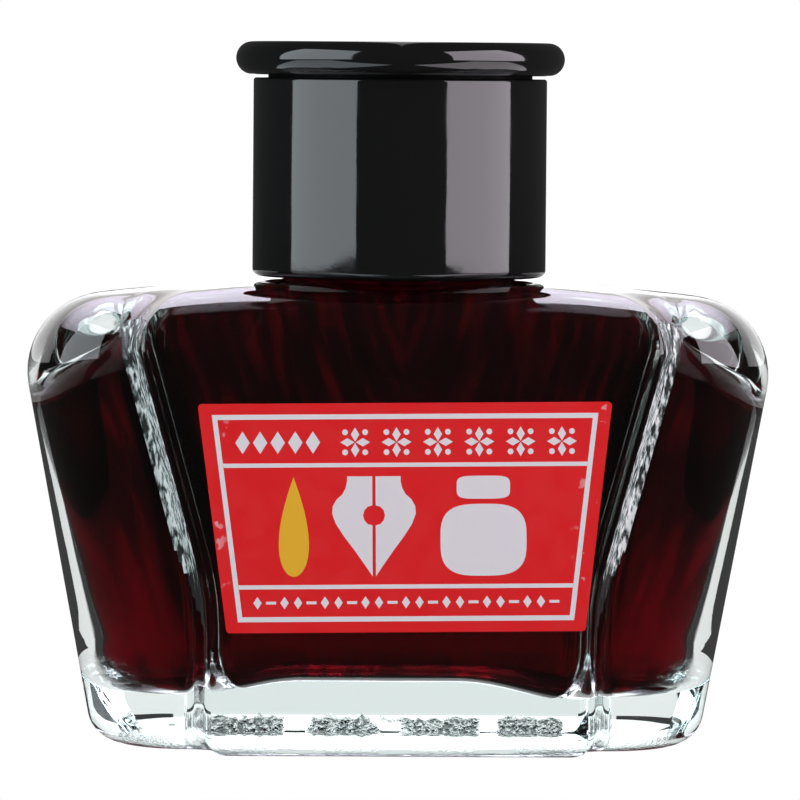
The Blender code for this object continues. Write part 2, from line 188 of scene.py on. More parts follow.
CORNERS = ((-1, -1), (1, -1), (1, 1), (-1, 1))  # of a rectangle, anticlockwise

# Points along each stretch of a quarter of a section
FRONT_STEPS, CORNER_STEPS, SIDE_STEPS, GROOVE_STEPS, WING_STEPS, END_STEPS = 12, 6, 4, 6, 4, 16
QUARTER_STEPS = FRONT_STEPS + CORNER_STEPS + SIDE_STEPS + GROOVE_STEPS + WING_STEPS + END_STEPS
RING_STEPS = 4 * QUARTER_STEPS
CAP_SEGMENTS = 160

# Rings along each stretch of the bottle
HEEL_ROWS, WALL_ROWS, FILLET_ROWS, SHOULDER_ROWS, NECK_FILLET_ROWS, LIP_ROWS = 8, 32, 12, 10, 6, 6
FLARE_ROWS, ROOF_ROWS, CAVITY_WALL_ROWS, FLOOR_FILLET_ROWS, FLOOR_ROWS = 8, 9, 24, 8, 9
THREAD_ROW = 0.25  # height between the rings that a thread is made of
ROOF_SETTLE = 4  # times that the height of a rounded top corner is put right


def smooth_step(value, low, high):
    t = np.clip((value - low) / (high - low), 0, 1)
    return t * t * (3 - 2 * t)


def soft_ramp(value, softness):
    """Nothing below 0 and the value itself above it, with a rounded bend between."""
    return softness * np.logaddexp(0, value / softness)


def shoulder_height(x, y):
    """Height of the bottle's outer shoulder, which is level near the neck and falls outwards."""
    fall = SHOULDER_SLOPE * soft_ramp(np.abs(x) - SHOULDER_FLAT, 1.0)
    return SHOULDER_TOP - fall - SHOULDER_CROWN * y**2


def roof_height(x, y):
    """Height of the cavity's roof, which is lower over the wings."""
    extra = WING_ROOF * smooth_step(np.abs(x), WING_ROOF_START, WING_ROOF_END)
    return shoulder_height(x, y) - SHOULDER_WALL - extra


def floor_height(x):
    """Height of the cavity's floor: a low hump across the block, a little off the middle."""
    return FLOOR_LOW + FLOOR_RISE * smooth_step(np.abs(x - FLOOR_MIDDLE), FLOOR_EDGE, FLOOR_CREST)


class Outside:
    """The bottle's outer section."""

    block_depth = BLOCK_DEPTH
    wing_depth = WING_DEPTH
    corner = BLOCK_CORNER
    groove = GROOVE_RADIUS
    front_fillet = FRONT_FILLET
    end_fillet = END_FILLET
    end_wall = 0.0
    end_wall_thinning = 0.0
    side_wall = 0.0
    top = staticmethod(shoulder_height)


class Inside:
    """The cavity's section, a wall's thickness in from the outside."""

    block_depth = BLOCK_DEPTH - FRONT_WALL
    wing_depth = WING_DEPTH - FRONT_WALL
    corner = CAVITY_CORNER
    groove = CAVITY_CORNER
    front_fillet = CAVITY_FRONT_FILLET
    end_fillet = CAVITY_END_FILLET
    end_wall = END_WALL_FOOT
    end_wall_thinning = END_WALL_THINNING
    side_wall = BLOCK_SIDE_WALL
    top = staticmethod(roof_height)


def quarter(section, height, inset):
    """One quarter of a section, from the middle of the front to the wing's end.

    height holds one value for each point, because a row of points need not be level. inset
    moves the outline in by that much. Returns x, y and each point's share of the wing's end.
    """
    end_wall = section.end_wall - section.end_wall_thinning * height
    half_width = SIDE_FOOT + SIDE_LEAN * height - end_wall - inset
    lean = BLOCK_LEAN * soft_ramp(height - BLOCK_KNEE, BLOCK_KNEE_SOFTNESS)
    front_width = BLOCK_FOOT + lean - section.side_wall - inset
    depth = section.block_depth - inset
    wing_depth = section.wing_depth - inset
    corner = np.maximum(section.corner - inset, SMALLEST_RADIUS)
    groove = section.groove + np.minimum(inset, GROOVE_MOST_GAIN)
    out, down = math.cos(BLOCK_SPLAY), math.sin(BLOCK_SPLAY)

    # The side leaves the corner's arc and meets the groove's arc.
    side_x = front_width - corner + corner * out
    side_y = -(depth - corner) - corner * down
    side_length = (-wing_depth - groove + groove * down - side_y) / out
    groove_x = side_x + side_length * down + groove * out
    end_reach = np.minimum(WING_END - inset, half_width - groove_x - SHORTEST_WING)

    x = np.empty_like(height)
    y = np.empty_like(height)
    end_share = np.zeros_like(height)
    first = 0

    def stretch(steps):
        nonlocal first
        picked = slice(first, first + steps)
        first += steps
        return picked, np.arange(steps) / steps

    pick, t = stretch(FRONT_STEPS)
    x[pick] = (front_width - corner)[pick] * t
    y[pick] = -depth[pick]
    pick, t = stretch(CORNER_STEPS)
    angle = -math.pi / 2 + t * (math.pi / 2 - BLOCK_SPLAY)
    x[pick] = (front_width - corner)[pick] + corner[pick] * np.cos(angle)
    y[pick] = -(depth - corner)[pick] + corner[pick] * np.sin(angle)
    pick, t = stretch(SIDE_STEPS)
    x[pick] = side_x[pick] + side_length[pick] * t * down
    y[pick] = side_y[pick] + side_length[pick] * t * out
    pick, t = stretch(GROOVE_STEPS)
    angle = math.pi - BLOCK_SPLAY - t * (math.pi / 2 - BLOCK_SPLAY)
    x[pick] = groove_x[pick] + groove[pick] * np.cos(angle)
    y[pick] = -(wing_depth + groove)[pick] + groove[pick] * np.sin(angle)
    pick, t = stretch(WING_STEPS)
    x[pick] = groove_x[pick] + (half_width - end_reach - groove_x)[pick] * t
    y[pick] = -wing_depth[pick]
    pick = slice(first, first + END_STEPS + 1)
    angle = np.linspace(-math.pi / 2, 0, END_STEPS + 1)
    x[pick] = (half_width - end_reach)[pick] + end_reach[pick] * np.cos(angle)
    y[pick] = wing_depth[pick] * np.sin(angle)
    end_share[pick] = np.round(np.cos(angle) ** 2, 9)
    return x, y, end_share


def whole_ring(x, y, z):
    """A quarter's points, mirrored into a closed ring that runs anticlockwise from the front."""
    last = len(x) - 1
    front = np.stack([x, y, z], axis=1)
    back = front[last - 1 :: -1] * [1, -1, 1]
    right = np.concatenate([front, back])
    return np.concatenate([right, right[-2:0:-1] * [-1, 1, 1]])


def level_ring(section, height, inset):
    """A section's whole outline at one height."""
    levels = np.full(QUARTER_STEPS + 1, float(height))
    x, y, _ = quarter(section, levels, np.full_like(levels, inset))
    return whole_ring(x, y, levels)


def roof_ring(section, turn, inset=0.0):
    """A quarter of the rounded top corner. turn runs from 0, the wall, to 1, the shoulder.

    The wing's end has a larger fillet than the front, and its wall leans.
    """
    level = np.full(QUARTER_STEPS + 1, SHOULDER_TOP)
    share = quarter(section, level, 0 * level)[2]
    in_end = share > 0
    radius = section.front_fillet + (section.end_fillet - section.front_fillet) * share - inset
    wall_lean = SIDE_LEAN_ANGLE * share
    last_angle = math.pi / 2 - math.atan(SHOULDER_SLOPE) * share

    def place(foot, angle):
        pulled = radius * (np.cos(wall_lean) - np.cos(angle))
        x, y, _ = quarter(section, foot, inset + np.where(in_end, 0, pulled))
        x = x - np.where(in_end, pulled * np.sqrt(share), 0)
        y = y * np.where(in_end, 1 - pulled / (section.wing_depth - inset), 1)
        return x, y, foot + radius * (np.sin(angle) + np.sin(wall_lean))

    foot = level - section.end_fillet
    for _ in range(ROOF_SETTLE):
        x, y, z = place(foot, last_angle)
        foot = foot + section.top(x, y) - inset - z
    return place(foot, turn * (last_angle + wall_lean) - wall_lean)


def wall_rings(section, bottom, rows, inset=0.0):
    """Rings up a wall, from a level bottom to the start of the rounded top corner."""
    _, _, top = roof_ring(section, 0.0, inset)
    for row in rows:
        levels = bottom + row * (top - bottom)
        x, y, _ = quarter(section, levels, np.full_like(levels, inset))
        yield whole_ring(x, y, levels)


def circle(radius, height, count, thread=None):
    """A level ring from the front. thread gives how far it stands out at an angle and a height."""
    angle = -math.pi / 2 + 2 * math.pi * np.arange(count) / count
    radii = np.full(count, float(radius))
    if thread is not None:
        radii = radii + thread(angle + math.pi / 2, height)
    heights = np.full(count, float(height))
    return np.stack([radii * np.cos(angle), radii * np.sin(angle), heights], axis=1)


def thread_ridge(angle, level):
    """How far the neck's right-handed thread stands out at an angle and a height."""
    turns = np.floor((level - THREAD_START) / THREAD_PITCH - angle / (2 * math.pi) + 0.5)
    along = turns + angle / (2 * math.pi)
    away = np.abs(level - THREAD_START - THREAD_PITCH * along)
    rise = np.clip((THREAD_FOOT_WIDTH - away) / (THREAD_FOOT_WIDTH - THREAD_CREST_WIDTH), 0, 1)
    ends = smooth_step(along, 0, THREAD_FADE) * smooth_step(THREAD_TURNS - along, 0, THREAD_FADE)
    return THREAD_HEIGHT * rise * ends


def blend_rings(outer, inner, shares, height):
    """Rings between two others, laid on a height that is a function of place."""
    for share in shares:
        ring = outer + (inner - outer) * share
        ring[:, 2] = height(ring[:, 0], ring[:, 1])
        yield ring


def arc(centre, radius, start, end, steps):
    """Points of a profile's arc, with angles in degrees from +radius towards +Z."""
    angles = np.radians(np.linspace(start, end, steps + 1))
    return [(centre[0] + radius * math.cos(a), centre[1] + radius * math.sin(a)) for a in angles]


def turned_rings(profile, count=CAP_SEGMENTS):
    return [circle(radius, height, count) for radius, height in profile]


def cavity_rings(inset=0.0):
    """Rings down the flare under the bore, out over the cavity's roof and down to its floor."""

    def roof(x, y):
        return roof_height(x, y) - inset

    def floor(x, _y):
        return floor_height(x) + inset

    flare_top = SHOULDER_TOP - SHOULDER_WALL + BORE_FLARE
    flare = arc((BORE_RADIUS + BORE_FLARE, flare_top), BORE_FLARE + inset, 180, 270, FLARE_ROWS)
    yield from turned_rings(flare[:-1], RING_STEPS)
    mouth = circle(BORE_RADIUS + BORE_FLARE, 0, RING_STEPS)
    edge = whole_ring(*roof_ring(Inside, 1.0, inset))
    yield from blend_rings(mouth, edge, np.linspace(0, 0.9, ROOF_ROWS), roof)
    for turn in np.linspace(1, 0, FILLET_ROWS, endpoint=False):
        yield whole_ring(*roof_ring(Inside, turn, inset))
    low = FLOOR_LOW + FLOOR_FILLET + FLOOR_RISE
    rows = np.linspace(0, 1, CAVITY_WALL_ROWS + 1)
    yield from reversed(list(wall_rings(Inside, low, rows, inset)))
    for turn in np.linspace(0.1, 1, FLOOR_FILLET_ROWS + 1):
        angle = turn * math.pi / 2
        pulled = inset + FLOOR_FILLET * (1 - math.cos(angle))
        ring = level_ring(Inside, low, pulled)
        base = floor_height(ring[:, 0]) + inset
        ring[:, 2] = base + (low - base) * (1 - math.sin(angle))
        yield ring
    centre = ring * 0
    yield from blend_rings(ring, centre, np.linspace(0.1, 0.9, FLOOR_ROWS), floor)


def outer_rings():
    """Rings up the outside of the bottle, over the neck's rim and to the top of the bore."""
    for inset, height in (
        (HEEL_RADIUS + BEARING_WIDTH + PUSH_UP_EDGE, PUSH_UP),
        (HEEL_RADIUS + BEARING_WIDTH, 0.0),
        (HEEL_RADIUS + BEARING_WIDTH / 2, 0.0),
    ):
        yield level_ring(Outside, height, inset)
    for angle in np.radians(np.linspace(0, 90, HEEL_ROWS, endpoint=False)):
        inset = HEEL_RADIUS * (1 - math.sin(angle))
        yield level_ring(Outside, HEEL_RADIUS * (1 - math.cos(angle)), inset)
    yield from wall_rings(Outside, HEEL_RADIUS, np.linspace(0, 1, WALL_ROWS + 1))
    for turn in np.linspace(0, 1, FILLET_ROWS + 1)[1:]:
        edge = whole_ring(*roof_ring(Outside, turn))
        yield edge
    root = circle(NECK_RADIUS + NECK_FILLET, 0, RING_STEPS)
    rows = np.linspace(0, 1, SHOULDER_ROWS + 1)[1:]
    yield from blend_rings(edge, root, rows, shoulder_height)
    for angle in np.radians(np.linspace(0, 90, NECK_FILLET_ROWS + 1)[1:]):
        radius = NECK_RADIUS + NECK_FILLET * (1 - math.sin(angle))
        yield circle(radius, SHOULDER_TOP + NECK_FILLET * (1 - math.cos(angle)), RING_STEPS)
    thread_low = THREAD_START - THREAD_FOOT_WIDTH
    thread_high = THREAD_START + THREAD_PITCH * THREAD_TURNS + THREAD_FOOT_WIDTH
    for height in np.arange(thread_low, thread_high, THREAD_ROW):
        yield circle(NECK_RADIUS, height, RING_STEPS, thread_ridge)
    lip = NECK_TOP - LIP_RADIUS
    profile = arc((NECK_RADIUS - LIP_RADIUS, lip), LIP_RADIUS, 0, 90, LIP_ROWS)
    profile += arc((BORE_RADIUS + LIP_RADIUS, lip), LIP_RADIUS, 90, 180, LIP_ROWS)
    yield from turned_rings(profile, RING_STEPS)


def ink_rings():
    """The cavity's rings, hardly inside it, up to the ink's surface in the neck."""
    surface = circle(BORE_RADIUS - INK_CLEARANCE, INK_TOP, RING_STEPS)
    return [surface, *cavity_rings(INK_CLEARANCE)][::-1]


def skirt_rings():
    """The cap's outer sleeve: a cup, open below, with a recess and a hole on top for the disc."""
    inner = SKIRT_RADIUS - SKIRT_WALL
    bottom = SKIRT_BOTTOM_ROUND
    top = SKIRT_TOP_ROUND
    profile = [(inner, SKIRT_BOTTOM)]
    profile += arc((SKIRT_RADIUS - bottom, SKIRT_BOTTOM + bottom), bottom, -90, 0, 10)
    profile += arc((SKIRT_RADIUS - top, SKIRT_TOP - top), top, 0, 90, 5)
    recess = COLLAR_RADIUS + GAP
    seat = SKIRT_TOP - RECESS_DEPTH
    ceiling = SKIRT_TOP - SKIRT_CEILING
    hole = SPIGOT_RADIUS + GAP
    profile += [(recess, SKIRT_TOP), (recess, seat), (hole, seat), (hole, ceiling), (inner, ceiling)]
    return turned_rings(profile)


def disc_rings():
    """The cap's top disc, with a full round rim, and a collar and spigot in the sleeve."""
    rim = DISC_THICKNESS / 2
    bottom = SKIRT_TOP + GAP
    spigot_end = SKIRT_TOP - SKIRT_CEILING
    collar_end = bottom - RECESS_DEPTH
    profile = [(SPIGOT_RADIUS, spigot_end), (SPIGOT_RADIUS, collar_end)]
    profile += [(COLLAR_RADIUS, collar_end), (COLLAR_RADIUS, bottom)]
    profile += arc((DISC_RADIUS - rim, bottom + rim), rim, -90, 90, 24)
    top = bottom + DISC_THICKNESS
    profile += arc((DISC_DISH_RADIUS, top - DISC_DISH / 2), DISC_DISH / 2, 90, 180, 4)
    profile += [(DISC_DISH_RADIUS - DISC_DISH, top - DISC_DISH)]
    return turned_rings(profile)


def fan(first, count, flip):
    """Faces that close a ring with an even number of points, as strips across it."""
    faces = []
    for i in range(count // 2 - 1):
        a, b, c, d = first + i, first + i + 1, first + count - 2 - i, first + count - 1 - i
        faces.append((a, b, c, d) if flip else (d, c, b, a))
    return faces


def skin(rings, joined=False):
    """Points and faces of a body whose rings run anticlockwise, outside first and going up.

    A joined body closes on its own first ring, and any other is closed across both ends.
    """
    count = len(rings[0])
    points = np.concatenate(rings)
    faces = []
    for row in range(len(rings) if joined else len(rings) - 1):
        below = row * count
        above = (row + 1) % len(rings) * count
        for i in range(count):
            j = (i + 1) % count
            faces.append((below + i, below + j, above + j, above + i))
    if not joined:
        faces += fan(0, count, flip=False)
        faces += fan((len(rings) - 1) * count, count, flip=True)
    return points, faces


def put_in_scene(name, data):
    thing = bpy.data.objects.new(name, data)
    bpy.context.scene.collection.objects.link(thing)
    return thing


def add_piece(name, points, faces, materials, body, sharp=35, picks=None):
    """A visible piece. sharp is in degrees, and picks holds each face's material number."""
    mesh = bpy.data.meshes.new(name)
    mesh.from_pydata((np.asarray(points) * MM).tolist(), [], faces)
    mesh.shade_smooth()
    mesh.set_sharp_from_angle(angle=math.radians(sharp))
    for material in materials:
        mesh.materials.append(material)
    if picks is not None:
        mesh.polygons.foreach_set("material_index", picks)
    piece = put_in_scene(name, mesh)
    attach(piece, body)
    return piece


# Materials, in metres, which is what a shader reads
WHITE = (0.74, 0.7, 0.715)
YELLOW = (0.79, 0.43, 0.026)
GLASS_TINT, GLASS_DENSITY = (0.3, 0.6, 0.55), 10
GLASS_AGAINST_INK = 1.119  # glass's refractive index over ink's
INK_TINT, INK_DENSITY = (0.6, 0.1, 0.2), 100
# Painted light in the ink's colour: lighter streaks, and a glow low down
INK_LIGHT_STREAK_LEAN = 0.36  # how far outwards a streak of painted light leans, over its height
INK_LIGHT_STREAK_SHARE = 0.15  # how much slower it changes along its length
INK_PAINTED_GLOW_START = (0.0078, 0.0092)  # heights that the painted glow low in the ink starts over
INK_PAINTED_GLOW_FADE = (0.009, 0.023)  # and fades out over
STIPPLE_PITCH = 0.0098  # from one patch of dimples on the heel to the next
STIPPLE_SHIFT = 0.0022  # moves the patches towards +X
STIPPLE_TOP = (0.0022, 0.0026)  # height that they fade out over
STIPPLE_UNEVEN = 0.0016  # and how far that height comes down in places
STIPPLE_EDGE = (0.4, 0.9)  # level of the sine that they fade in over
STIPPLE_RAGGED = 2.4  # and how much a noise adds to it
STIPPLE_TURN = 0.01  # half the depth that they strengthen over, towards the back
STIPPLE_ON_FRONT = 0.12  # how strong they are on the front
STIPPLE_DEPTH = 0.0006
# painted shade: the colour of the dark specks in the heel's dimples
DIMPLE_SHADE_COLOUR = (0.06, 0.07, 0.07)
# Painted light on the groove's strip: dark pits are painted shade and bright pits painted highlights,
# around a middle grey
PIT_PAINTED_SHADE, PIT_MIDDLE, PIT_PAINTED_HIGHLIGHT = (0.02, 0.022, 0.022), (0.24, 0.29, 0.27), (0.72, 0.76, 0.74)
STRIP_HIGHLIGHT_TOP_FADE = (0.035, 0.043)  # heights that the painted highlights of the groove's strip fade over, going up
STRIP_HIGHLIGHT_FOOT_FADE = (0.0135, 0.021)  # and, near its foot, going down
RUBBED_EDGE = (0.0166, 0.0185)  # half widths that the label's scuffs begin over
PAPER_GRAIN = (5000, 0.000006)


def add_math(tree, kind, first, second=None):
    """A sum or other operation on sockets or numbers."""
    math_node = tree.nodes.new("ShaderNodeMath")
    math_node.operation = kind
    for socket, value in zip(math_node.inputs, (first, second)):
        if isinstance(value, (int, float)):
            socket.default_value = value
        elif value is not None:
            tree.links.new(value, socket)
    return math_node.outputs[0]


def times(tree, first, second):
    return add_math(tree, "MULTIPLY", first, second)


def plus(tree, first, second):
    return add_math(tree, "ADD", first, second)


def minus(tree, first, second):
    return add_math(tree, "SUBTRACT", first, second)


def add_step(tree, value, start, end, low=0.0, high=1.0):
    """A smooth step of a value from low, at start, to high, at end."""
    step = tree.nodes.new("ShaderNodeMapRange")
    step.interpolation_type = "SMOOTHSTEP"
    for name, number in (("From Min", start), ("From Max", end), ("To Min", low), ("To Max", high)):
        step.inputs[name].default_value = number
    tree.links.new(value, step.inputs["Value"])
    return step.outputs["Result"]


def add_place(tree):
    """The object's own X, Y and Z in metres."""
    where = tree.nodes.new("ShaderNodeTexCoord")
    split = tree.nodes.new("ShaderNodeSeparateXYZ")
    tree.links.new(where.outputs["Object"], split.inputs[0])
    return split.outputs


def add_noise(tree, scale, detail=2.0, stretch=(1, 1, 1)):
    """A noise over the object's own metres, stretched along an axis where asked."""
    where = tree.nodes.new("ShaderNodeTexCoord")
    mapping = tree.nodes.new("ShaderNodeMapping")
    mapping.inputs["Scale"].default_value = stretch
    noise = tree.nodes.new("ShaderNodeTexNoise")
    noise.inputs["Scale"].default_value = scale
    noise.inputs["Detail"].default_value = detail
    tree.links.new(where.outputs["Object"], mapping.inputs["Vector"])
    tree.links.new(mapping.outputs["Vector"], noise.inputs["Vector"])
    return noise.outputs["Fac"]


def add_bump(tree, height, distance, below=None, strength=None):
    """The normal of a bumpy surface, over another such normal where below gives one."""
    bump = tree.nodes.new("ShaderNodeBump")
    bump.inputs["Distance"].default_value = distance
    for socket, value in (("Height", height), ("Normal", below), ("Strength", strength)):
        if value is not None:
            tree.links.new(value, bump.inputs[socket])
    return bump.outputs["Normal"]


def add_grain(tree, shader, scale, distance, below=None):
    """A fine, even bump on the shader's surface."""
    grain = add_bump(tree, add_noise(tree, scale), distance, below)
    tree.links.new(grain, shader.inputs["Normal"])


def principled(name, colour, roughness, index=1.5):
    """A new material, its node tree and its shader. index is the refractive index."""
    material = bpy.data.materials.new(name)
    material.use_nodes = True
    tree = material.node_tree
    shader = tree.nodes["Principled BSDF"]
    shader.inputs["Base Color"].default_value = (*colour, 1)
    shader.inputs["Roughness"].default_value = roughness
    shader.inputs["IOR"].default_value = index
    return material, tree, shader


def see_through(name, colour, clearness, index):
    """The same for a smooth liquid or glass."""
    material, tree, shader = principled(name, colour, 0.0, index)
    shader.inputs["Transmission Weight"].default_value = clearness
    return material, tree, shader


def mix_colours(tree, shader, share, other):
    """Base colour that runs from the shader's own, where share is 0, to another, where it is 1."""
    mix = tree.nodes.new("ShaderNodeMix")
    mix.data_type = "RGBA"
    mix.inputs["A"].default_value = shader.inputs["Base Color"].default_value
    mix.inputs["B"].default_value = (*other, 1)
    tree.links.new(share, mix.inputs["Factor"])
    tree.links.new(mix.outputs["Result"], shader.inputs["Base Color"])


def vary_roughness(tree, shader, scale, detail, spread):
    """Roughness that wanders with a noise, by up to spread either side of the shader's own."""
    own = shader.inputs["Roughness"].default_value
    noise = add_noise(tree, scale, detail)
    rough = add_step(tree, noise, 0.3, 0.7, own - spread, own + spread)
    tree.links.new(rough, shader.inputs["Roughness"])


def absorb(tree, colour, density):
    volume = tree.nodes.new("ShaderNodeVolumeAbsorption")
    volume.inputs["Color"].default_value = (*colour, 1)
    volume.inputs["Density"].default_value = density
    tree.links.new(volume.outputs["Volume"], tree.nodes["Material Output"].inputs["Volume"])


def glass_waves(tree):
    """The slow waviness of pressed glass and its finer, softer pitting."""
    slow = add_bump(tree, add_noise(tree, 160), 0.00001)
    return add_bump(tree, add_noise(tree, 900), 0.0000008, slow)


def heel_stipple(tree, shader, below):
    """Patches of small dimples on the heel, strong on the back and faint on the front, with painted
    shade as dark specks in them.
    """
    place = add_place(tree)
    height = plus(tree, place["Z"], times(tree, add_noise(tree, 700), STIPPLE_UNEVEN))
    low = add_step(tree, height, *STIPPLE_TOP, 1.0, 0.0)
    back = add_step(tree, place["Y"], -STIPPLE_TURN, STIPPLE_TURN, STIPPLE_ON_FRONT, 1.0)
    turn = times(tree, minus(tree, place["X"], STIPPLE_SHIFT), 2 * math.pi / STIPPLE_PITCH)
    ragged = times(tree, add_noise(tree, 260), STIPPLE_RAGGED)
    wave = plus(tree, add_math(tree, "SINE", turn), ragged)
    patchy = add_step(tree, wave, *STIPPLE_EDGE)
    strength = times(tree, times(tree, low, back), patchy)
    dimples = add_noise(tree, 2200, 3.0, (1, 1, 1.8))
    # painted shade: the dimples' dark specks are mixed into the glass's colour
    specks = times(tree, strength, add_step(tree, dimples, 0.44, 0.54))
    mix_colours(tree, shader, specks, DIMPLE_SHADE_COLOUR)
    return add_bump(tree, dimples, STIPPLE_DEPTH, below, strength)


def make_glass():
    """Clear glass with a faint green tint, wavy and dimpled at the heel, with painted shade in the
    dimples.
    """
    material, tree, shader = see_through("clear_glass", (1, 1, 1), 1.0, 1.5)
    absorb(tree, GLASS_TINT, GLASS_DENSITY)
    stipple = heel_stipple(tree, shader, glass_waves(tree))
    tree.links.new(stipple, shader.inputs["Normal"])
    return material


def make_stippled_glass():
    """The matt, pitted strip that the mould leaves in the groove between block and wing. Its pits are
    real bumps, but their bright and dark colours are painted highlights and painted shade.
    """
    material, tree, shader = principled("stippled_glass_painted_light", PIT_MIDDLE, 0.25)
    pits = add_noise(tree, 2400, 4.0, (1, 0.7, 0.3))
    painted_tone = tree.nodes.new("ShaderNodeValToRGB")
    stops = painted_tone.color_ramp.elements
    for stop, position, colour in ((stops[0], 0.42, PIT_PAINTED_SHADE), (stops[1], 0.56, PIT_PAINTED_HIGHLIGHT)):
        stop.position = position
        stop.color = (*colour, 1)
    stops.new(0.49).color = (*PIT_MIDDLE, 1)
    place = add_place(tree)
    top_fade = add_step(tree, place["Z"], *STRIP_HIGHLIGHT_TOP_FADE, 0.0, 0.1)
    foot_fade = add_step(tree, place["Z"], *STRIP_HIGHLIGHT_FOOT_FADE, 0.3, 0.0)
    fade = plus(tree, top_fade, foot_fade)
    # painted highlights and shade, darker towards the strip's top and its foot
    tree.links.new(minus(tree, pits, fade), painted_tone.inputs["Fac"])
    tree.links.new(painted_tone.outputs["Color"], shader.inputs["Base Color"])
    tree.links.new(add_bump(tree, pits, 0.0001), shader.inputs["Normal"])
    return material


def make_wetted_glass():
    """The glass surface that the ink touches, so its refraction is that of glass against ink."""
    material, tree, shader = see_through("glass_against_ink", (1, 1, 1), 1.0, GLASS_AGAINST_INK)
    tree.links.new(glass_waves(tree), shader.inputs["Normal"])
    return material


def make_ink():
    """Ink with painted light in its colour: a glow low down, and soft streaks that lean as the wings do.
    """
    material, tree, shader = see_through("red_ink", (0.02, 0.003, 0.004), 0.85, 1.0)
    absorb(tree, INK_TINT, INK_DENSITY)
    place = add_place(tree)
    across = add_math(tree, "ABSOLUTE", place["X"])
    leant = times(tree, place["Z"], INK_LIGHT_STREAK_LEAN)
    join = tree.nodes.new("ShaderNodeCombineXYZ")
    tree.links.new(minus(tree, across, leant), join.inputs["X"])
    tree.links.new(times(tree, place["Z"], INK_LIGHT_STREAK_SHARE), join.inputs["Z"])
    streaks = tree.nodes.new("ShaderNodeTexNoise")
    streaks.inputs["Scale"].default_value = 560
    streaks.inputs["Detail"].default_value = 1.0
    tree.links.new(join.outputs["Vector"], streaks.inputs["Vector"])
    # Painted light, not the ink's own colour: the streaks and the glow low down are mixed into its base
    # colour
    streak_light = add_step(tree, streaks.outputs["Fac"], 0.46, 0.66, 0.0, 0.6)
    low = add_step(tree, place["Z"], *INK_PAINTED_GLOW_FADE, 0.9, 0.0)
    glow_above_floor = add_step(tree, place["Z"], *INK_PAINTED_GLOW_START)
    share = plus(tree, streak_light, times(tree, low, glow_above_floor))
    mix_colours(tree, shader, share, (0.17, 0.003, 0.008))
    return material


def make_gloss():
    """Polished black plastic, a little wavy, with a haze of fine handling marks."""
    material, tree, shader = principled("black_gloss_plastic", (0.005, 0.005, 0.005), 0.055)
    vary_roughness(tree, shader, 260, 4.0, 0.02)
    slow = add_bump(tree, add_noise(tree, 70), 0.00008)
    add_grain(tree, shader, 2500, 0.000001, slow)
    return material


def make_matt():
    """Unpolished black plastic, in the disc's dish and where the disc sits in the sleeve."""
    material, tree, shader = principled("black_matt_plastic", (0.003, 0.003, 0.003), 0.6, 1.2)
    vary_roughness(tree, shader, 900, 3.0, 0.1)
    add_grain(tree, shader, 4000, 0.00001)
    return material


def make_insert_plastic():
    """Plain black plastic as it leaves the mould: matt, with an even fine grain."""
    material, tree, shader = principled("black_insert_plastic", (0.012, 0.012, 0.013), 0.41)
    vary_roughness(tree, shader, 400, 3.0, 0.09)
    add_grain(tree, shader, 6000, 0.00001)
    return material


def make_foam():
    """The liner's white foam, with small closed cells and slightly yellowed patches."""
    material, tree, shader = principled("white_foam", (0.78, 0.78, 0.75), 0.8)
    mix_colours(tree, shader, add_noise(tree, 300, 3.0), (0.7, 0.68, 0.6))
    cells = tree.nodes.new("ShaderNodeTexVoronoi")
    cells.inputs["Scale"].default_value = 3500
    where = tree.nodes.new("ShaderNodeTexCoord")
    tree.links.new(where.outputs["Object"], cells.inputs["Vector"])
    bump = add_bump(tree, cells.outputs["Distance"], 0.00005)
    tree.links.new(bump, shader.inputs["Normal"])
    return material


def make_paper():
    """Coated label paper, printed red, with small scuffs where its side edges get rubbed."""
    material, tree, shader = principled("label_paper", (0.72, 0.0125, 0.015), 0.4)
    place = add_place(tree)
    across = add_math(tree, "ABSOLUTE", place["X"])
    rubbed = add_step(tree, across, *RUBBED_EDGE)
    specks = add_step(tree, add_noise(tree, 700, 6.0), 0.64, 0.68, 0.0, 0.6)
    scuffs = times(tree, rubbed, specks)
    mix_colours(tree, shader, scuffs, (0.8, 0.45, 0.45))
    vary_roughness(tree, shader, 500, 3.0, 0.06)
    add_grain(tree, shader, *PAPER_GRAIN)
    return material


def make_print(name, colour):
    """Printing ink, a little grainy from the paper under it."""
    material, tree, shader = principled(name, colour, 0.38)
    add_grain(tree, shader, *PAPER_GRAIN)
    return material


def label_outline():
    """The label's outline as x and z, anticlockwise as seen from the front."""
    top, bottom = LABEL_TOP_WIDTH / 2, LABEL_BOTTOM_WIDTH / 2
    half = LABEL_HEIGHT / 2
    lean = math.atan2(top - bottom, LABEL_HEIGHT)
    corners = [(-bottom, -half), (bottom, -half), (top, half), (-top, half)]
    turns = [90 - math.degrees(lean), 90 + math.degrees(lean)]
    points = []
    for number, (x, z) in enumerate(corners):
        sweep = math.radians(turns[number > 1])
        start = [math.pi + lean, -math.pi / 2, -lean, math.pi / 2][number]
        towards = start + sweep / 2
        reach = LABEL_CORNER / math.cos(sweep / 2)
        for t in np.linspace(0, 1, 8):
            angle = start + sweep * t
            cx = x - reach * math.cos(towards)
            cz = z - reach * math.sin(towards)
            points.append((cx + LABEL_CORNER * math.cos(angle), cz + LABEL_CORNER * math.sin(angle)))
    return points


def on_label(points, lift):
    """Points of the label's own plane, turned and moved to where the label sits."""
    placed = []
    for x, z in points:
        across = x * math.cos(LABEL_TURN) - z * math.sin(LABEL_TURN) + LABEL_OFFSET
        up = x * math.sin(LABEL_TURN) + z * math.cos(LABEL_TURN) + LABEL_BOTTOM + LABEL_HEIGHT / 2
        placed.append((across, -(BLOCK_DEPTH + GAP) - lift, up))
    return np.array(placed)


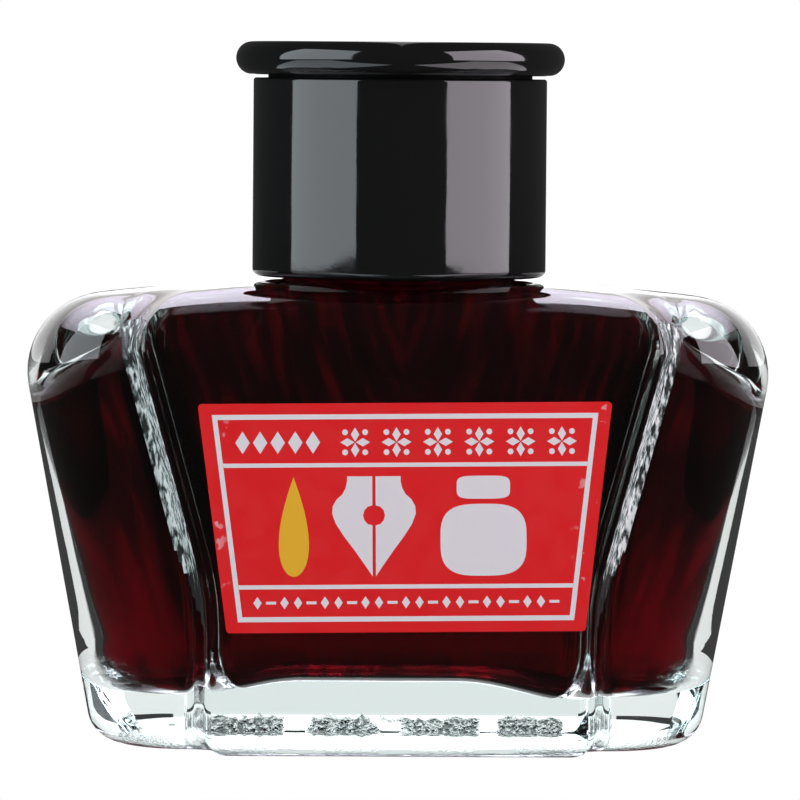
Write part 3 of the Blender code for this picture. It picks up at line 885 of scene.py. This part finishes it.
def slab(outline):
    """A printed shape, given anticlockwise as seen from the front, as a thin closed slab."""
    count = len(outline)
    back = on_label(outline, PRINT_BACK)
    front = on_label(outline, PRINT_FRONT)
    faces = [tuple(range(count))[::-1], tuple(range(count, 2 * count))]
    for i in range(count):
        j = (i + 1) % count
        faces.append((count + j, count + i, i, j))
    return np.concatenate([back, front]), faces


def gathered(bodies):
    """Several closed bodies as the points and faces of one mesh."""
    points, faces = [], []
    for some_points, some_faces in bodies:
        faces += [tuple(len(points) + number for number in face) for face in some_faces]
        points += list(some_points)
    return points, faces


def dot(x, z):
    angles = np.linspace(0, 2 * math.pi, 10, endpoint=False)
    return [(x + DOT_RADIUS * math.cos(a), z + DOT_RADIUS * math.sin(a)) for a in angles]


def lozenge(x, z, half_width, half_height):
    return [(x - half_width, z), (x, z - half_height), (x + half_width, z), (x, z + half_height)]


def bar(x, z, half_width, half_height):
    return [(x + side * half_width, z + end * half_height) for side, end in CORNERS]


def label_half_width(z):
    """Half width of the label at a height above its middle."""
    middle = (LABEL_TOP_WIDTH + LABEL_BOTTOM_WIDTH) / 4
    return middle + z * (LABEL_TOP_WIDTH - LABEL_BOTTOM_WIDTH) / (2 * LABEL_HEIGHT)


def frame_slab():
    """The frame line that runs round the label, as one body with a hole."""
    outlines = []
    for more in (0, FRAME_LINE):
        half = LABEL_HEIGHT / 2 - FRAME_INSET - more
        wide = label_half_width(half) - FRAME_SIDE_INSET - more
        narrow = label_half_width(-half) - FRAME_SIDE_INSET - more
        outlines.append([(-narrow, -half), (narrow, -half), (wide, half), (-wide, half)])
    outer, inner = outlines
    places = ((outer, PRINT_BACK), (outer, PRINT_FRONT), (inner, PRINT_FRONT), (inner, PRINT_BACK))
    return skin([on_label(outline, lift) for outline, lift in places], joined=True)


def divider(z):
    outline = []
    for side, end in CORNERS:
        level = z + end * DIVIDER_LINE / 2
        reach = label_half_width(level) - FRAME_SIDE_INSET - FRAME_LINE - PRINT_LIFT
        outline.append((side * reach, level))
    return outline


def drop_outline():
    """A falling ink drop, pointed above and round below."""
    angles = np.linspace(0, 2 * math.pi, 40, endpoint=False)
    across = np.sin(angles) * np.sin(angles / 2) ** 1.1
    up = np.cos(angles)
    return [(DROP_X - DROP_HALF * a, PICTURE_MIDDLE + PICTURE_HALF * b) for a, b in zip(across, up)]


def nib_half(side):
    """One tine of a pen nib that points down, up to the slit and its breather hole."""
    edge = [(0.0, -1.0), (0.2, -0.76), (0.45, -0.47), (0.7, -0.2), (0.9, 0.05), (0.99, 0.25)]
    edge += [(0.98, 0.4), (0.88, 0.54), (0.74, 0.64), (0.66, 0.76), (0.62, 0.9), (0.62, 1.0), (0.0, 1.0)]
    turns = np.radians(np.linspace(90, -90, 7))
    hole = [(0.23 * math.cos(a), 0.22 + 0.2 * math.sin(a)) for a in turns]
    outline = []
    for x, z in edge + hole:
        across = NIB_SLIT + x * (NIB_HALF - NIB_SLIT)
        outline.append((NIB_X + side * across, PICTURE_MIDDLE + PICTURE_HALF * z))
    return outline[::side]


def pot_outlines():
    """An ink pot: a lid above a round-shouldered body."""
    for half_width, bottom, top, power in ((1.0, -1.0, 0.44, 3.2), (0.62, 0.54, 1.0, 4.5)):
        outline = []
        for angle in np.linspace(0, 2 * math.pi, 44, endpoint=False):
            x = math.copysign(abs(math.cos(angle)) ** (2 / power), math.cos(angle))
            z = math.copysign(abs(math.sin(angle)) ** (2 / power), math.sin(angle))
            up = (bottom + top) / 2 + z * (top - bottom) / 2
            outline.append((POT_X + POT_HALF * half_width * x, PICTURE_MIDDLE + PICTURE_HALF * up))
        yield outline


def top_row():
    """Leaves in a row, then flowers of four lozenges between dots."""
    for x in np.linspace(LEAF_FIRST, LEAF_LAST, LEAF_COUNT):
        yield lozenge(x, TOP_ROW, LEAF_HALF, TOP_ROW_HALF * LEAF_SHARE)
    reach = TOP_ROW_HALF / 2
    for x in np.linspace(FLOWER_FIRST, FLOWER_LAST, FLOWER_COUNT):
        for side in (-1, 1):
            yield lozenge(x, TOP_ROW + side * reach, PETAL_HALF, reach * PETAL_SHARE)
            yield lozenge(x + side * reach, TOP_ROW, reach * PETAL_SHARE, PETAL_HALF)
        for side, end in CORNERS:
            yield dot(x + side * DOT_REACH, TOP_ROW + end * DOT_REACH)


def bottom_row():
    """Small lozenges and dashes by turns."""
    for number, x in enumerate(np.linspace(-ORNAMENT_REACH, ORNAMENT_REACH, ORNAMENT_COUNT)):
        if number % 3 == 1:
            yield bar(x, BOTTOM_ROW, DASH_HALF, DASH_LINE_HALF)
        else:
            yield lozenge(x, BOTTOM_ROW, LOZENGE_HALF, BOTTOM_ROW_HALF)


def strip_faces(number, points, faces):
    """Which of the bottle's numbered faces are at a strip's place, outside or inside."""
    step = number % RING_STEPS
    mirrored = step // QUARTER_STEPS % 2 == 1
    step = np.where(mirrored, QUARTER_STEPS - 1 - step % QUARTER_STEPS, step % QUARTER_STEPS)
    across = (step - FRONT_STEPS - CORNER_STEPS) / (SIDE_STEPS + GROOVE_STEPS)
    heights = np.array([points[list(face), 2].mean() for face in faces])
    low_enough = heights < STRIP_HIGH
    high_enough = heights > STRIP_LOW + STRIP_TAPER * across
    return (across >= 0) & (across < 1) & low_enough & high_enough


def make_bottle():
    outer = list(outer_rings())
    points, faces = skin(outer + list(cavity_rings()))
    number = np.arange(len(faces))
    inside = number // RING_STEPS >= len(outer)
    in_strip = ~inside & strip_faces(number, points, faces)
    picks = (inside + 2 * in_strip).astype(np.int32)
    materials = [make_glass(), make_wetted_glass(), make_stippled_glass()]
    bottle = add_piece("bottle_glass", points, faces, materials, "bottle", 50, picks)
    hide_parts("glass_bottle")
    return bottle


def make_ink_body():
    points, faces = skin(ink_rings())
    ink = add_piece("ink_body", points, faces, [make_ink()], "bottle", 60)
    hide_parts("ink")


def make_cap():
    """The sleeve and the disc, and materials for the insert and the liner from the CAD."""
    gloss = make_gloss()
    skirt = add_piece("cap_sleeve", *skin(skirt_rings(), joined=True), [gloss], "cap")
    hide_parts("cap_skirt")
    points, faces = skin(disc_rings())
    number = np.arange(len(faces))
    in_seat = number // CAP_SEGMENTS < DISC_SEAT_ROWS
    in_dish = number > len(faces) - CAP_SEGMENTS // 2
    picks = (in_seat | in_dish).astype(np.int32)
    disc = add_piece("cap_disc", points, faces, [gloss, make_matt()], "cap", picks=picks)
    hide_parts("cap_top_disc")
    for name, material in (("cap_thread_insert", make_insert_plastic()), ("cap_liner", make_foam())):
        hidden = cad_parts[name]
        hidden.data.materials.clear()
        hidden.data.materials.append(material)
    return skirt, disc


def make_label():
    outline = label_outline()
    rings = [on_label(outline, 0), on_label(outline, LABEL_THICKNESS)]
    label = add_piece("label_sheet", *skin(rings), [make_paper()], "bottle")
    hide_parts("front_label")
    outlines = [divider(z) for z in DIVIDERS]
    outlines += [nib_half(1), nib_half(-1), *pot_outlines(), *top_row(), *bottom_row()]
    white = [frame_slab(), *(slab(outline) for outline in outlines)]
    add_piece("label_print_white", *gathered(white), [make_print("white_print", WHITE)], "bottle")
    yellow = slab(drop_outline())
    add_piece("label_print_yellow", *yellow, [make_print("yellow_print", YELLOW)], "bottle")


# Stage, camera and light, in metres
EYE_DISTANCE = 0.65
EYE_HEIGHT = 0.0696
AZIMUTH = math.radians(1.4)  # how far the camera stands to the left
TILT = math.radians(3.05)
ROLL = math.radians(0.45)
PAN = math.radians(0.019)
LENS = 285.8  # in millimetres
CLIP_START = 0.01
FLOOR_HALF = 3.0
FLOOR_DROP = 0.0001  # so that it shares no plane with the bottle
FLOOR_DIM, FLOOR_BRIGHT = 0.05, 1.0
ROOM_DIM, CARD_BRIGHT = 0.05, 1.05
CARD_AXIS = math.tan(AZIMUTH)  # the white card's middle runs away along the camera's axis
CARD_START = 0.02  # half the depth that the floor turns white over
CARD_NEAR = 0.026  # half width of the white on the floor, at the bottle
CARD_GROWTH = 0.033  # and how much it gains for each metre away
CARD_FAR = 0.037  # half width of the card far behind, for each metre away
CARD_SOFTNESS = 0.01
LEAST_AHEAD = 0.001  # so that nothing is divided by 0
RIM_LIGHT_AWAY, RIM_LIGHT_WIDTH = 1.0, 4.6
RIM_LIGHT_LOW, RIM_LIGHT_HIGH = 0.06, 0.67
RIM_LIGHT_RADIANCE = 1.3
LOW_LIGHT_NEAR, LOW_LIGHT_FAR, LOW_LIGHT_WIDTH = 0.05, 0.3, 0.15
LOW_LIGHT_HEIGHT = 0.0005
LOW_LIGHT_SHARE = 0.5  # how much of a softbox's light its patch on the floor gives back
SOFTBOX_WIDTH, SOFTBOX_HEIGHT, SOFTBOX_MIDDLE, SOFTBOX_DISTANCE = 0.566, 1.2, 0.05, 0.5
SOFTBOXES = (  # the angle from the camera's side towards +X, and the radiance
    ("left_softbox", math.radians(-63), (3.3, 3.6, 3.8)),
    ("right_softbox", math.radians(66), (4.9, 4.55, 4.95)),
)
TOP_LIGHT_REACH = 1.2
TOP_LIGHT_DEPTH = 2.0
TOP_LIGHT_FRONT = 0.05
TOP_LIGHT_HEIGHT = 0.8
TOP_LIGHT_GAP = (-0.014, 0.053)  # where the cap would hide a panel that went right across
TOP_LIGHT_RADIANCE = (5.5, 5.2525, 6.105)
TOP_LIGHT_SPREAD = math.radians(131)


def make_camera():
    data = bpy.data.cameras.new("camera")
    data.lens = LENS
    data.clip_start = CLIP_START
    camera = put_in_scene("camera", data)
    place = Matrix.Translation(
        (-EYE_DISTANCE * math.sin(AZIMUTH), -EYE_DISTANCE * math.cos(AZIMUTH), EYE_HEIGHT)
    )
    heading = Matrix.Rotation(-AZIMUTH - PAN, 4, "Z") @ Matrix.Rotation(math.pi / 2 - TILT, 4, "X")
    camera.matrix_world = place @ heading @ Matrix.Rotation(ROLL, 4, "Z")
    bpy.context.scene.camera = camera


def make_floor():
    """A floor, white along the card's axis behind the bottle, and all white to the camera."""
    mesh = bpy.data.meshes.new("floor")
    points = [(x * FLOOR_HALF, y * FLOOR_HALF, 0) for x, y in CORNERS]
    mesh.from_pydata(points, [], [(0, 1, 2, 3)])
    floor = put_in_scene("floor", mesh)
    floor.location.z = -FLOOR_DROP
    floor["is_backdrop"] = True
    material, tree, shader = principled("floor_white", (1, 1, 1), 1.0)
    tree.nodes.remove(shader)
    light_path = tree.nodes.new("ShaderNodeLightPath")
    place = add_place(tree)
    behind = add_step(tree, place["Y"], -CARD_START, CARD_START)
    side = minus(tree, place["X"], times(tree, place["Y"], CARD_AXIS))
    across = add_math(tree, "ABSOLUTE", side)
    outside = minus(tree, across, times(tree, place["Y"], CARD_GROWTH))
    soft = CARD_SOFTNESS / 2
    between = add_step(tree, outside, CARD_NEAR - soft, CARD_NEAR + soft, 1.0, 0.0)
    lit = times(tree, behind, between)
    level = add_step(tree, lit, 0.0, 1.0, FLOOR_DIM, FLOOR_BRIGHT)
    seen = add_math(tree, "MAXIMUM", level, light_path.outputs["Is Camera Ray"])
    glow = tree.nodes.new("ShaderNodeEmission")
    tree.links.new(seen, glow.inputs["Strength"])
    tree.links.new(glow.outputs[0], tree.nodes["Material Output"].inputs["Surface"])
    mesh.materials.append(material)


def make_world():
    """A narrow white card far behind the bottle, in a dark room. The camera itself sees white."""
    world = bpy.data.worlds.new("studio")
    bpy.context.scene.world = world
    world.use_nodes = True
    tree = world.node_tree
    light_path = tree.nodes.new("ShaderNodeLightPath")
    where = tree.nodes.new("ShaderNodeTexCoord")
    split = tree.nodes.new("ShaderNodeSeparateXYZ")
    tree.links.new(where.outputs["Generated"], split.inputs[0])
    ahead = add_math(tree, "MAXIMUM", split.outputs["Y"], LEAST_AHEAD)
    heading = add_math(tree, "DIVIDE", split.outputs["X"], ahead)
    across = add_math(tree, "ABSOLUTE", minus(tree, heading, CARD_AXIS))
    edge = CARD_FAR + CARD_SOFTNESS
    lit = add_step(tree, across, CARD_FAR, edge, CARD_BRIGHT, ROOM_DIM)
    seen = add_math(tree, "MAXIMUM", lit, light_path.outputs["Is Camera Ray"])
    tree.links.new(seen, tree.nodes["Background"].inputs["Strength"])
    tree.nodes["Background"].inputs["Color"].default_value = (1, 1, 1, 1)


def shine_only_on(light, pieces):
    """Leaves every other object out of what a light shines on."""
    receivers = bpy.data.collections.new("lit_by_" + light.name)
    for piece in pieces:
        receivers.objects.link(piece)
    light.light_linking.receiver_collection = receivers


def add_panel(name, width, height, radiance, place):
    """A flat light that the camera doesn't see. Unturned, it shines down."""
    data = bpy.data.lights.new(name, "AREA")
    data.shape = "RECTANGLE"
    data.size = width
    data.size_y = height
    data.color = radiance
    data.energy = width * height * math.pi
    panel = put_in_scene(name, data)
    panel.matrix_world = place
    panel.visible_camera = False
    return panel


def make_top_light(bottle, start, end):
    """A panel over and behind the bottle, from start to end along X, for the glass alone."""
    middle = ((start + end) / 2, TOP_LIGHT_FRONT + TOP_LIGHT_DEPTH / 2, TOP_LIGHT_HEIGHT)
    place = Matrix.Translation(middle)
    panel = add_panel("top_light", end - start, TOP_LIGHT_DEPTH, TOP_LIGHT_RADIANCE, place)
    panel.data.spread = TOP_LIGHT_SPREAD
    shine_only_on(panel, [bottle])


def make_rim_light(bottle):
    """A wide panel that stands behind the bottle, over the floor, for the glass alone."""
    middle = Matrix.Translation((0, RIM_LIGHT_AWAY, (RIM_LIGHT_LOW + RIM_LIGHT_HIGH) / 2))
    place = middle @ Matrix.Rotation(-math.pi / 2, 4, "X")
    height = RIM_LIGHT_HIGH - RIM_LIGHT_LOW
    panel = add_panel("rim_light", RIM_LIGHT_WIDTH, height, [RIM_LIGHT_RADIANCE] * 3, place)
    shine_only_on(panel, [bottle])


def make_softbox(name, azimuth, radiance, cap):
    """A tall light beside the bottle, and the patch that it lights on the floor, for the cap."""
    turn = Matrix.Rotation(azimuth - AZIMUTH, 4, "Z")
    middle = Matrix.Translation((0, -SOFTBOX_DISTANCE, SOFTBOX_MIDDLE))
    standing = turn @ middle @ Matrix.Rotation(math.pi / 2, 4, "X")
    add_panel(name, SOFTBOX_WIDTH, SOFTBOX_HEIGHT, radiance, standing)
    middle = Matrix.Translation((0, -(LOW_LIGHT_NEAR + LOW_LIGHT_FAR) / 2, LOW_LIGHT_HEIGHT))
    lying = turn @ middle @ Matrix.Rotation(math.pi, 4, "X")
    length = LOW_LIGHT_FAR - LOW_LIGHT_NEAR
    low = [LOW_LIGHT_SHARE * value for value in radiance]
    patch = add_panel(name + "_on_floor", LOW_LIGHT_WIDTH, length, low, lying)
    shine_only_on(patch, cap)


def set_render():
    scene = bpy.context.scene
    scene.view_settings.view_transform = "Standard"
    cycles = scene.cycles
    cycles.max_bounces = 24
    cycles.transmission_bounces = 24
    cycles.glossy_bounces = 8
    cycles.transparent_max_bounces = 16
    cycles.caustics_reflective = False
    cycles.sample_clamp_indirect = 8
    cycles.use_denoising = True


def main():
    make_camera()
    make_world()
    make_floor()
    set_render()
    bottle = make_bottle()
    make_ink_body()
    cap = make_cap()
    make_label()
    make_top_light(bottle, -TOP_LIGHT_REACH, TOP_LIGHT_GAP[0])
    make_top_light(bottle, TOP_LIGHT_GAP[1], TOP_LIGHT_REACH)
    make_rim_light(bottle)
    for name, azimuth, radiance in SOFTBOXES:
        make_softbox(name, azimuth, radiance, cap)


main()
bpy.context.view_layer.update()
model_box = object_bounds()
[[list(corner) for corner in box] for box in (cad_box, model_box)]
